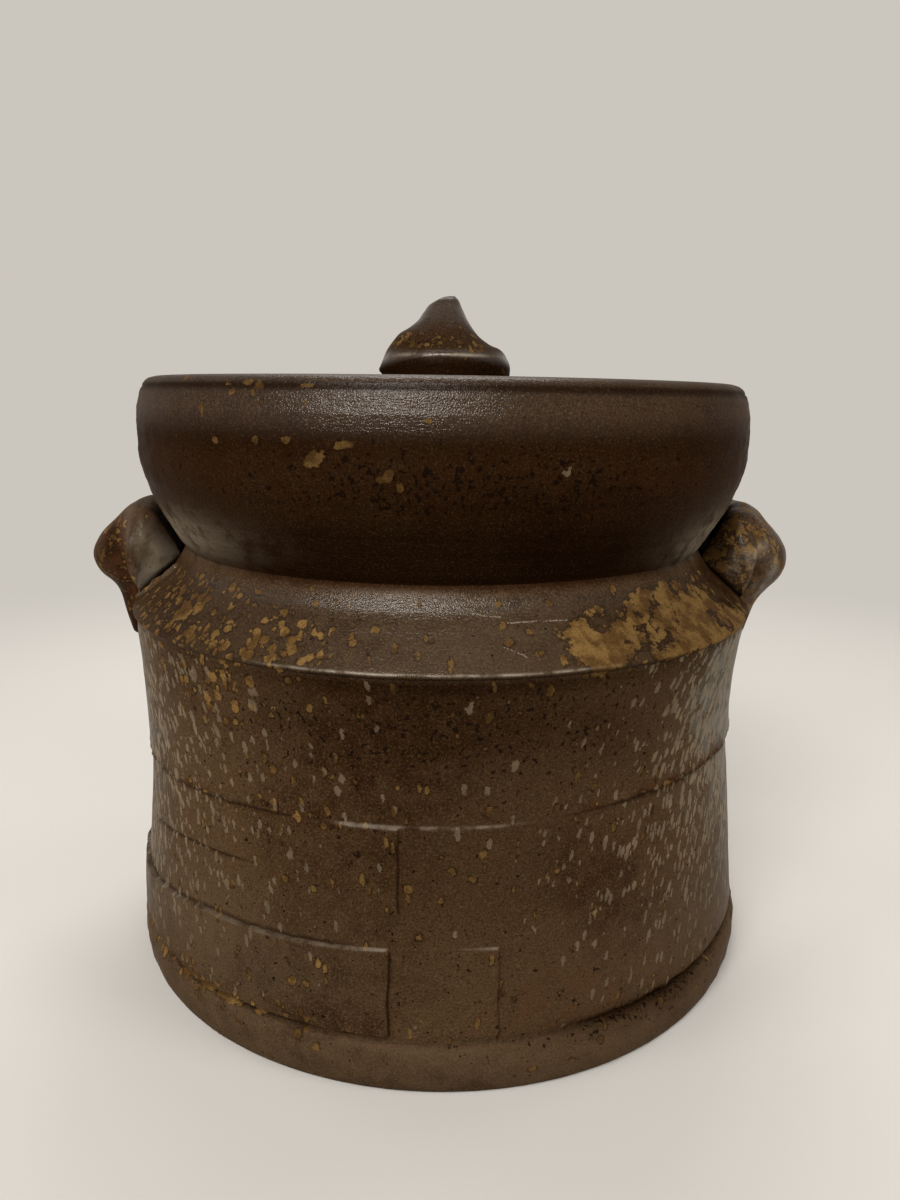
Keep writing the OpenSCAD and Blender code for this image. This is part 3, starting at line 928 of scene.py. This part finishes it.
def build_lid(material):
    top_z = seat_z + LID_T
    phi, r, z = swept(lid_outline(top_z))
    points = on_jar(phi, r, z)
    on_top = ease(top_z - 0.6, top_z - 0.1, z) * ease(*FREE_R, r)
    rings = 0.045 * np.sin(r * 0.9 + phi * 0.008) + 0.02 * np.sin(r * 2.3)
    rings = rings * (1 + 1.6 * rough(points, 25, 8.8))
    uneven = 0.35 * rough(points, 30, 4.9) + 0.08 * rough(points, 5, 5.5)
    points = lean(on_jar(phi, r, z + (rings + uneven) * on_top))
    sheets = 0.4 * hill(rough(points, 40, 2.2), 0.5, 0.25)
    grey = 0.35 + 0.25 * rough(points, 35, 6.1)
    paint = {"marks": layers(0.22, sheets, 0.03),
             "tints": np.clip(layers(0.4, grey, 0.25), 0, 1),
             "shade": layers(0.3 + 0 * z, 0.4, 0),
             "flow": points * MM}
    return grid_piece("lid_disc", points, paint, material, ring=False)


# Knob

# Its outline on four sides from the foot to the tip: radius and height over the lid
KNOB_SIDES = {
    -90: ((17.6, 0), (17.9, 2), (18.4, 4), (19.6, 5.6), (19, 7.4), (17.2, 11.6),
          (13.9, 16), (10.4, 18.2), (7.8, 20.2), (6.2, 22.6), (4.4, 24.8), (0.9, 26)),
    0: ((16.8, 0), (17.3, 2.3), (18, 5), (18.8, 8.2), (18.9, 9.8), (17.2, 11.4),
        (14.4, 14.2), (11.4, 17.4), (8.1, 21), (5.4, 24.4), (3.4, 26.4), (0.9, 27)),
    90: ((18.4, 0), (19.1, 2.3), (19.6, 4.8), (19.6, 7.2), (18.6, 9.8), (16.6, 12),
         (13.2, 13.4), (9.7, 16), (7, 19.8), (4.9, 23.8), (4, 26), (2.9, 27.2)),
    180: ((16.8, 0), (17.3, 2.3), (18.6, 5), (19.2, 7.4), (18.6, 10), (16.8, 12),
          (14, 14.8), (11.2, 17.6), (8, 21), (5.4, 24.4), (3.4, 26.4), (0.9, 27))}
KNOB_COLUMNS = 144
KNOB_SHIFT = 0.1
KNOB_RIDGE_H = 9.6


def knob_paint(phi, height):
    """A foot darkened as painted shade under the ridge, a glossy ridge with a painted highlight at the
    front, ochre, and a glossy tip.
    """
    foot = 1 - ease(7.5, 9.5, height)
    ridge = hill(height, KNOB_RIDGE_H, 0.4) * np.maximum(np.cos(np.radians(phi)), 0) ** 4
    gloss = hill(height, 9.2, 1.5) + 0.9 * hill(height, 23, 4.5)
    return {"marks": layers(0.1 * hill(height, 14, 6) + 0.03, 0.42 * hill(height, 13, 5), 0),
            "tints": layers(0.5, 0.35 * ease(18, 26, height), 0.3),
            "shade": layers(0.75 + 0.25 * foot, np.minimum(gloss, 1), ridge)}


def build_knob(material):
    phi = np.linspace(-180, 180, KNOB_COLUMNS, endpoint=False)
    shape = 0
    for side, outline in KNOB_SIDES.items():
        weight = np.maximum(np.cos(np.radians(phi - side)), 0) ** 2
        shape = shape + weight[None, :, None] * spline(outline, 5)[:, None, :]
    r, height = shape[..., 0], shape[..., 1]
    points = on_jar(phi, r, pad_z + height)
    bumps = 0.35 * rough(points, 9, 3.3) + 0.12 * rough(points, 3, 1.2)
    free = ease(0.2, 3, height) * ease(0, 6, r)
    points = on_jar(phi, r + bumps * free, pad_z + height)
    points[..., 0] += KNOB_SHIFT
    points = lean(points)
    paint = knob_paint(phi[None, :], height)
    paint["flow"] = points * MM
    return grid_piece("knob", points, paint, material, ring=False, crease=55)


# Clay

class Value:
    """A node's output, which can be reckoned with like a number."""

    def __init__(self, graph, socket):
        self.graph = graph
        self.socket = socket

    def math(self, operation, other, clamp=False):
        return self.graph.out("Math", 0, {0: self, 1: other}, operation=operation, use_clamp=clamp)

    def __mul__(self, other):
        return self.math("MULTIPLY", other)

    def __add__(self, other):
        return self.math("ADD", other)

    def __sub__(self, other):
        return self.math("SUBTRACT", other)

    def ramp(self, low, high, out_low=0, out_high=1):
        limits = {"From Min": low, "From Max": high, "To Min": out_low, "To Max": out_high}
        return self.graph.out("MapRange", 0, {"Value": self, **limits}, interpolation_type="SMOOTHSTEP")


def most(first, *others):
    """The largest of some values."""
    for other in others:
        first = first.math("MAXIMUM", other)
    return first


class Graph:
    """Short names for the nodes and links of a material or a world."""

    def __init__(self, owner):
        owner.use_nodes = True
        self.owner = owner
        self.tree = owner.node_tree

    def put(self, socket, value):
        if isinstance(value, Value):
            self.tree.links.new(value.socket, socket)
        else:
            socket.default_value = value

    def shader(self, socket, value):
        """Sets or links a socket of the material's shader."""
        self.put(self.tree.nodes["Principled BSDF"].inputs[socket], value)

    def node(self, kind, inputs=None, **settings):
        made = self.tree.nodes.new("ShaderNode" + kind)
        for key, value in settings.items():
            setattr(made, key, value)
        for key, value in (inputs or {}).items():
            self.put(made.inputs[key], value)
        return made

    def out(self, kind, output, inputs=None, **settings):
        """One output of a new node."""
        return Value(self, self.node(kind, inputs, **settings).outputs[output])

    def vector(self, operation, a, b, output="Vector"):
        return self.out("VectorMath", output, {0: a, 1: b}, operation=operation)

    def mix(self, share, a, b):
        return self.out("Mix", 2, {0: share, 6: a, 7: b}, data_type="RGBA")

    def noise(self, coords, per_metre, detail=2, roughness=0.5, output=0):
        return self.out("TexNoise", output, {"Vector": coords, "Scale": per_metre, "Detail": detail,
                                             "Roughness": roughness})

    def attribute(self, name):
        return self.out("Attribute", "Vector", attribute_name=name)

    def parts(self, vector):
        return [Value(self, part) for part in self.node("SeparateXYZ", {0: vector}).outputs]


DARK_CLAY = (0.03, 0.0145, 0.0056, 1)
MID_CLAY = (0.065, 0.039, 0.0185, 1)
LIGHT_CLAY = (0.12, 0.08, 0.043, 1)
DEEP_CLAY_AND_SHADE = (0.009, 0.0033, 0.0008, 1)
GREY_CLAY_AND_SHEEN = (0.105, 0.082, 0.053, 1)
RED_CLAY = (0.075, 0.024, 0.008, 1)
BLACK_DOT = (0.005, 0.0026, 0.0014, 1)
OCHRE = (0.188, 0.109, 0.036, 1)
DARK_OCHRE = (0.09, 0.047, 0.015, 1)
PALE_ASH = (0.205, 0.163, 0.11, 1)
# the colour of a painted sheen
SHEEN_FILM = (0.122, 0.12, 0.11, 1)
# pale wear, and the colour of painted highlights and reflections
WORN_AND_LIT = (0.4, 0.35, 0.28, 1)

# How far the flecks' outlines are shaken, in metres, and the size of the dark rings round flecks
RAGGED = 0.0012
RING_SIZE = 1.45
# The clay's own shine is faint. A coat stands for the gloss that the kiln gave it in places.
SHINE = 0.006
COAT = 0.9
COAT_ROUGHNESS = 0.2
# Height of the fine relief, in metres, and how lines round the jar are drawn out
RELIEF_H = 0.0003
ROUND_LINES = (0.2, 0.2, 1)

# Scratches on the shoulder, as angles and radii along them, and their width in metres
SCRATCHES = (((10.5, 82.9), (13, 82.8), (15.8, 82.8), (18.2, 82.9), (20.5, 83)),
             ((9.2, 87.7), (10.7, 88.5), (12.3, 89.7)), ((5, 80.8), (7.4, 81.4), (9.6, 81.6)))
SCRATCH_W = 0.00024


class Clay(Graph):
    """The graph of a clay material, with the values that its layers share."""

    def __init__(self, name, sheet_scale):
        super().__init__(bpy.data.materials.new(name))
        self.ash, self.patch, self.pale = self.parts(self.attribute("marks"))
        self.dots, self.grey, self.red = self.parts(self.attribute("tints"))
        self.deep, self.sheen, self.worn_and_lit = self.parts(self.attribute("shade"))
        self.here = self.out("TexCoord", "Object")
        self.clouds = self.noise(self.here, 26, 3)
        self.mottle = self.noise(self.here, 190, 3, 0.6)
        self.grain = self.noise(self.here, 2000, 1)
        self.edges = self.noise(self.here, sheet_scale, 5, 0.68)
        shake = self.noise(self.here, 800, output="Color")
        shake = self.vector("SUBTRACT", shake, (0.5, 0.5, 0.5))
        shake = self.vector("MULTIPLY", shake, (RAGGED, RAGGED, RAGGED))
        self.loose = self.vector("ADD", self.here, shake)
        self.drawn = self.vector("ADD", self.attribute("flow"), shake)


def flecks(c, coords, per_metre, density, smallest, largest):
    """Flecks one to a cell, and the rings round them, in that share of the cells."""
    cell = c.node("TexVoronoi", {"Vector": coords, "Scale": per_metre})
    chance, size, _ = c.parts(Value(c, cell.outputs["Color"]))
    apart = Value(c, cell.outputs["Distance"])
    there = chance.math("LESS_THAN", density)
    radius = size.ramp(0, 1, smallest, largest)
    disc = apart.ramp(radius, radius * 0.75)
    ring = apart.ramp(radius * RING_SIZE, radius)
    return disc * there, ring * there


def ground(c):
    """Mottled brown clay. Its grain shows more where it is glossy."""
    speckle = c.sheen.ramp(0, 0.5, 0.4, 0.65)
    colour = c.mix(c.clouds.ramp(0.35, 0.65), DARK_CLAY, MID_CLAY)
    colour = c.mix(c.mottle.ramp(0.4, 0.7, 0, 0.7), colour, MID_CLAY)
    colour = c.mix(c.grain.ramp(0.5, 0.7, 0, speckle), colour, LIGHT_CLAY)
    return c.mix(c.grain.ramp(0.46, 0.3, 0, speckle), colour, BLACK_DOT)


def tinted(c, colour):
    """Red, grey and dark clay over the ground. The grey also carries painted sheen and painted
    reflection, and the dark also carries painted shade.
    """
    colour = c.mix(c.red * c.mottle.ramp(0.25, 0.6), colour, RED_CLAY)
    colour = c.mix(c.grey * c.mottle.ramp(0.2, 0.55, 0.35, 0.9), colour, GREY_CLAY_AND_SHEEN)
    depth = c.clouds.ramp(0.25, 0.6, 1, 0.93) * c.grain.ramp(0.5, 0.72, 1, 0.84)
    return c.mix(c.deep * depth, colour, DEEP_CLAY_AND_SHADE)


def dotted(c, colour):
    """Irregular black dots, close together where their share is high."""
    least = c.dots * -0.15 + 0.7
    dark = c.noise(c.here, 760, 2, 0.55).ramp(least, least + 0.05)
    return c.mix(dark * 0.85, colour, BLACK_DOT)


def with_ochre(c, colour):
    """Flecks and sheets of ochre ash with dark outlines, and their share."""
    often = c.ash.math("POWER", 1.25)
    small, small_ring = flecks(c, c.drawn, 640, c.ash * 0.6, 0.12, 0.56)
    big, big_ring = flecks(c, c.loose, 400, often, 0.14, c.ash * 0.4 + 0.48)
    spread = c.edges + c.patch * 0.42
    outlines = spread.ramp(0.64, 0.69) * c.patch.ramp(0.15, 0.4)
    colour = c.mix(most(small_ring, big_ring, outlines) * 0.6, colour, DEEP_CLAY_AND_SHADE)
    ochre = most(small, big, spread.ramp(0.7, 0.75))
    thick = c.grain.ramp(0.3, 0.6, 0.6, 0.95) * c.deep.ramp(0.3, 1, 1, 0.48)
    thick = thick * (c.ash + c.patch).ramp(0.05, 0.5, 0.6, 1)
    tone = c.mix(c.mottle.ramp(0.4, 0.6), DARK_OCHRE, OCHRE)
    return c.mix(ochre * thick, colour, tone), ochre


def with_pale_ash(c, colour):
    """Grey patches of painted sheen, and pale flecks over them."""
    sheen_film = (c.edges + c.pale * 0.2).ramp(0.59, 0.74, 0, 0.7)
    colour = c.mix(sheen_film * c.pale.ramp(0.5, 1), colour, SHEEN_FILM)
    large, _ = flecks(c, c.drawn, 480, c.pale, 0.12, c.pale * 0.42 + 0.32)
    small, _ = flecks(c, c.drawn, 760, c.pale, 0.2, 0.72)
    faint = c.mottle.ramp(0.3, 0.7, 0.5, 1) * c.pale.ramp(0, 1, 0.45, 0.95)
    return c.mix(most(large, small) * faint, colour, PALE_ASH)


def scratched(c, route):
    """1 along a scratch on the shoulder, through angles and radii."""
    ends = [Vector(on_jar(phi, r, shoulder_z(r))) * MM for phi, r in route]
    lines = []
    for start, end in zip(ends, ends[1:]):
        span = end - start
        away = c.vector("SUBTRACT", c.here, start)
        along = c.vector("DOT_PRODUCT", away, span / span.length_squared, "Value")
        along = along.math("ADD", 0, clamp=True)
        apart = c.vector("DISTANCE", away, c.vector("MULTIPLY", span, along), "Value")
        lines.append(apart.ramp(SCRATCH_W, SCRATCH_W / 2))
    return most(*lines)


def rubbed_and_lit(c, colour, scratches):
    """Pale wear on edges, painted highlights and painted reflections, and scratches."""
    share = c.worn_and_lit * c.mottle.ramp(0.35, 0.6, 0.1, 0.8)
    for route in scratches:
        share = most(share, scratched(c, route) * c.grain.ramp(0.35, 0.6, 0, 0.4))
    return c.mix(share, colour, WORN_AND_LIT)


def roughness(c, gloss, ochre):
    """About gloss, lower on glossy clay and higher on ash."""
    value = c.mottle.ramp(0.3, 0.7, gloss - 0.07, gloss + 0.09) - c.sheen * 0.14
    return value.math("ADD", ochre * 0.1, clamp=True)


def relief(c, grit):
    """Fine lines round the jar, pores and mottling."""
    turned = c.vector("MULTIPLY", c.here, ROUND_LINES)
    height = c.noise(turned, 2300, 0) * 0.35 + c.noise(c.here, 3000, 0) * 0.5 + c.mottle * 0.4
    strength = c.sheen.ramp(0, 1, 0.55 * grit, grit)
    return c.out("Bump", 0, {"Height": height, "Strength": strength, "Distance": RELIEF_H})


def clay_material(name, gloss, grit, sheet_scale, scratches=()):
    """Clay with that roughness, height of its relief and scale of its sheets of ash."""
    c = Clay(name, sheet_scale)
    colour, ochre = with_ochre(c, dotted(c, tinted(c, ground(c))))
    normal = relief(c, grit)
    c.shader("Base Color", rubbed_and_lit(c, with_pale_ash(c, colour), scratches))
    c.shader("Specular IOR Level", SHINE)
    c.shader("Roughness", roughness(c, gloss, ochre))
    c.shader("Normal", normal)
    c.shader("Coat Weight", c.sheen.math("MULTIPLY", ochre.ramp(0, 1, COAT, 0.2 * COAT), clamp=True))
    c.shader("Coat Roughness", COAT_ROUGHNESS)
    c.shader("Coat Normal", normal)
    return c.owner


# The object

jar_clay = clay_material("jar_clay", 0.42, 0.9, 140, SCRATCHES)
ear_clay = clay_material("ear_clay", 0.46, 0.45, 300)
lid_clay = clay_material("lid_clay", 0.4, 0.35, 420)

# The tail of each ear: its thickness, and how far it reaches below the solid's
LEFT_TAIL = (4.4, 3)
RIGHT_TAIL = (2.8, 1.5)
LEFT_LUMPS = 0.6
RIGHT_LUMPS = 1
# Ridges on the front of each ear, from one x and z to another, and their heights
LEFT_FOLDS = (((-91.9, 131.1), (-90.8, 121.9), 0.5), ((-90.8, 121.9), (-88.2, 111.6), 0.4),
              ((-86, 126), (-80, 118.3), 1.2))
RIGHT_FOLDS = (((93.7, 121.9), (86.1, 115.3), 1.7), ((97.4, 116), (93, 108.4), 1.5))

PIECES = (
    (build_slab(jar_clay), "base_slab", "jar", "jar_clay"),
    (build_wall(jar_clay), "body_wall", "jar", "jar_clay"),
    (build_shoulder(jar_clay), "shoulder_ring", "jar", "jar_clay"),
    (build_bowl(jar_clay), "mouth_bowl", "jar", "jar_clay"),
    (build_ledge(jar_clay), "lid_ledge", "jar", "jar_clay"),
    (build_ear("ear_left", -90, LEFT_LUMPS, LEFT_TAIL, LEFT_FOLDS, paint_left_ear, ear_clay),
     "left_ear", "jar", "ear_clay"),
    (build_ear("ear_right", 90, RIGHT_LUMPS, RIGHT_TAIL, RIGHT_FOLDS, paint_right_ear, ear_clay),
     "right_ear", "jar", "ear_clay"),
    (build_seam(ear_clay), "left_ear", "jar", "ear_clay"),
    (build_lid(lid_clay), "lid_plate", "lid", "lid_clay"),
    (build_knob(lid_clay), "lid_knob", "lid", "lid_clay"))

for piece, node, body, slot in PIECES:
    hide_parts(node)
    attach(piece, body)


# Stage, light and camera, in metres

# The floor and the room show as pale, and light the jar as darker ones
FLOOR_COLOUR = (0.61, 0.597, 0.575, 1)
FLOOR_LIGHT = (0.24, 0.21, 0.165, 1)
ROOM_COLOUR = (0.6, 0.567, 0.515, 1)
ROOM_LIGHT = (0.135, 0.124, 0.11, 1)
NO_COLOUR = (0, 0, 0, 1)
FLOOR_HALF = 8.0
# Distances from the jar between which the floor takes on the room's colour
FADE = (0.22, 0.62)


def shows(g):
    """1 for rays that show the room: from the camera, off a gloss or through glass."""
    path = g.node("LightPath").outputs
    kinds = ("Is Camera Ray", "Is Glossy Ray", "Is Transmission Ray")
    return most(*(Value(g, path[kind]) for kind in kinds))


def floor_material():
    g = Graph(bpy.data.materials.new("stage_paper"))
    far = g.vector("LENGTH", g.out("TexCoord", "Object"), (0, 0, 0), "Value").ramp(*FADE)
    shown = shows(g)
    g.shader("Base Color", g.mix(shown, FLOOR_LIGHT, g.mix(far, FLOOR_COLOUR, NO_COLOUR)))
    g.shader("Emission Color", ROOM_COLOUR)
    g.shader("Emission Strength", shown * far)
    g.shader("Specular IOR Level", 0)
    g.shader("Roughness", 0.9)
    return g.owner


def build_stage():
    """A pale floor that fades into the room."""
    corners_of_floor = ((-1, -1), (1, -1), (1, 1), (-1, 1))
    vertices = [(x * FLOOR_HALF, y * FLOOR_HALF, 0) for x, y in corners_of_floor]
    mesh = bpy.data.meshes.new("stage")
    mesh.from_pydata(vertices, [], [(0, 1, 2, 3)])
    mesh.materials.append(floor_material())
    stage = bpy.data.objects.new("stage", mesh)
    bpy.context.scene.collection.objects.link(stage)


def build_world():
    """A dim warm room that shows as a pale one."""
    g = Graph(bpy.data.worlds.new("room"))
    g.put(g.tree.nodes["Background"].inputs["Color"], g.mix(shows(g), ROOM_LIGHT, ROOM_COLOUR))
    bpy.context.scene.world = g.owner


CAMERA_PLACE = (0, -0.2807, 0.1633)
# Radians down, to the right and round the line of sight
CAMERA_TILT = 0.2183
CAMERA_TURN = 0.0094
CAMERA_ROLL = 0.0078
# A photograph of 900 by 1200 pixels with a focal length of 901 pixels
SENSOR = 36
FOCAL_SHARE = 901 / 1200


def build_camera():
    camera = bpy.data.objects.new("camera", bpy.data.cameras.new("camera"))
    camera.location = CAMERA_PLACE
    aim = Matrix.Rotation(-CAMERA_TURN, 3, "Z") @ Matrix.Rotation(math.pi / 2 - CAMERA_TILT, 3, "X")
    camera.rotation_euler = (aim @ Matrix.Rotation(CAMERA_ROLL, 3, "Z")).to_euler()
    camera.data.sensor_width = SENSOR
    camera.data.lens = SENSOR * FOCAL_SHARE
    camera.data.clip_start = 0.01
    bpy.context.scene.collection.objects.link(camera)
    bpy.context.scene.camera = camera


JAR_MIDDLE = (0, 0, 0.1)
LAMP_COLOUR = (1, 0.96, 0.91)


def area_light(name, place, size, power, shines=True):
    """A lamp that the camera can't see. A fill lamp doesn't show in the clay's shine either."""
    lamp = bpy.data.lights.new(name, "AREA")
    lamp.shape = "RECTANGLE"
    lamp.size, lamp.size_y = size
    lamp.energy = power
    lamp.color = LAMP_COLOUR
    made = bpy.data.objects.new(name, lamp)
    made.location = place
    made.rotation_euler = (Vector(JAR_MIDDLE) - Vector(place)).to_track_quat("-Z", "Y").to_euler()
    made.visible_camera = False
    made.visible_glossy = shines
    bpy.context.scene.collection.objects.link(made)


build_stage()
build_camera()
build_world()
area_light("front", (-0.42, -1.1, 0.74), (0.7, 0.15), 9)
area_light("high_front", (-0.26, -0.92, 1.22), (0.9, 0.3), 9)
area_light("high_back", (0, 0.75, 1.45), (0.9, 0.8), 8)
area_light("back", (0.2, 1.15, 0.55), (0.8, 0.6), 6, shines=False)
area_light("left", (-1.1, -0.55, 0.42), (0.5, 0.7), 6, shines=False)
area_light("right", (1.1, -0.55, 0.42), (0.5, 0.7), 7.5, shines=False)
area_light("left_edge", (-1, 0.55, 0.45), (0.4, 0.8), 2.2, shines=False)
area_light("right_edge", (1, 0.55, 0.45), (0.4, 0.8), 2.2, shines=False)
bpy.context.scene.view_settings.view_transform = "Standard"
